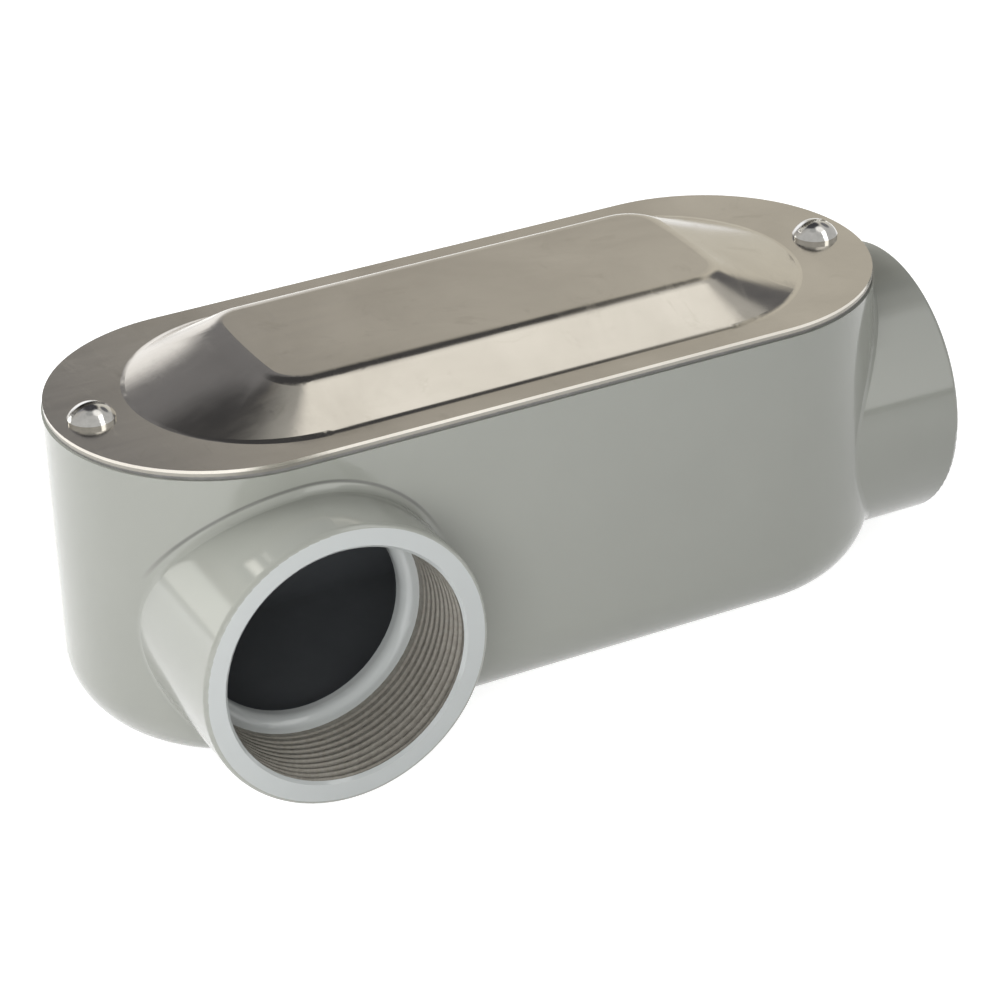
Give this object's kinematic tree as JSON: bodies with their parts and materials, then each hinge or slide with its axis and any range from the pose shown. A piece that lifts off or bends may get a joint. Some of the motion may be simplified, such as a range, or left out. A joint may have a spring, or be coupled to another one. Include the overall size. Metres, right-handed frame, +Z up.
{
  "type": "conduit body",
  "caption": "Rigid cast conduit body, type LL, with one threaded hub on the end and one on the side, closed by a gasketed pressed cover held by screws.",
  "frame": {"origin": "middle of the trough's flat underside", "axes": "+Z up towards the cover, +X along the end hub's axis out of its mouth, -Y along the side hub's axis out of its mouth"},
  "size_m": [0.2154, 0.0996, 0.0851],
  "materials": {
    "grey_enamel": "light grey gloss enamel on cast aluminium",
    "gasket_rubber": "matt black",
    "cover_sheet": "semi-bright rolled sheet with fine handling marks",
    "screw_plating": "bright nickel plating"
  },
  "bodies": {
    "root": {"conduit_body": "grey_enamel", "gasket": "gasket_rubber", "cover": "cover_sheet", "cover_screw_left": "screw_plating", "cover_screw_right": "screw_plating"}
  },
  "joints": []
}
